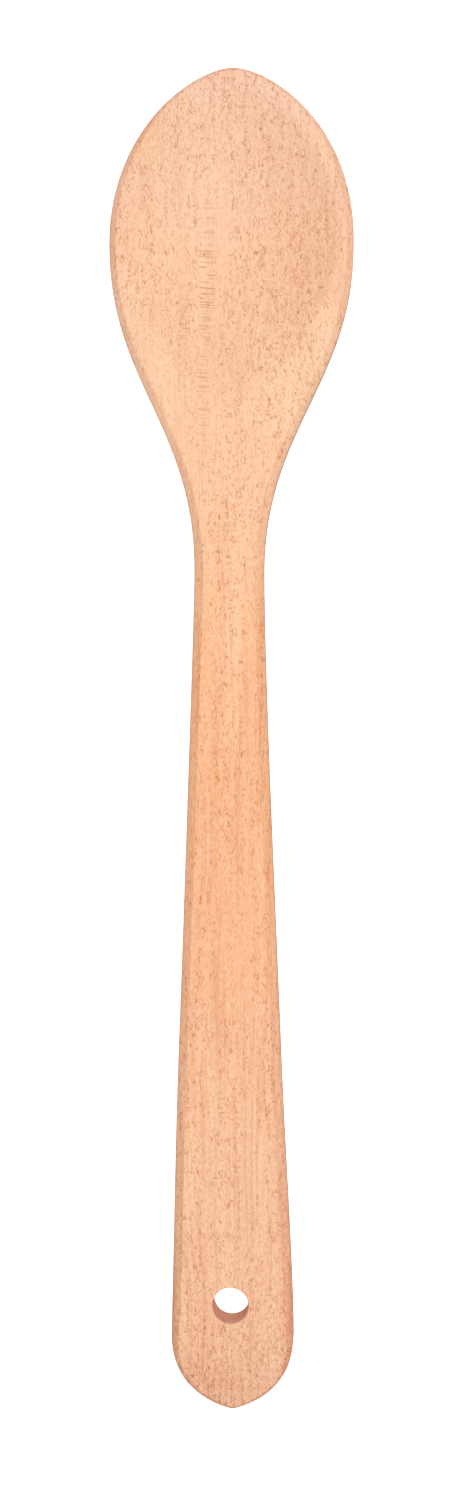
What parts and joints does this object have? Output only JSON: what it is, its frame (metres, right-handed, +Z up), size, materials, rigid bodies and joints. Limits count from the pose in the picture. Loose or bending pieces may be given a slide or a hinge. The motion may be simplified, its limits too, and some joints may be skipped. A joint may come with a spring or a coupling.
{
  "type": "wooden spoon",
  "caption": "Long-handled cooking spoon cut from one piece of beech: a pointed oval bowl with a shallow hollow, a slim neck, and a flat handle that widens to a rounded end with a hanging hole.",
  "frame": {"origin": "middle of the spoon's length and width, on the surface that it lies on", "axes": "+Z up out of the bowl, +Y along the spoon towards the bowl's tip, +X across"},
  "size_m": [0.0564, 0.31, 0.017],
  "materials": {
    "beech": "sanded bare beech with a faint oil sheen, fine short dark flecks along the grain"
  },
  "bodies": {
    "root": {"spoon": "beech"}
  },
  "joints": []
}
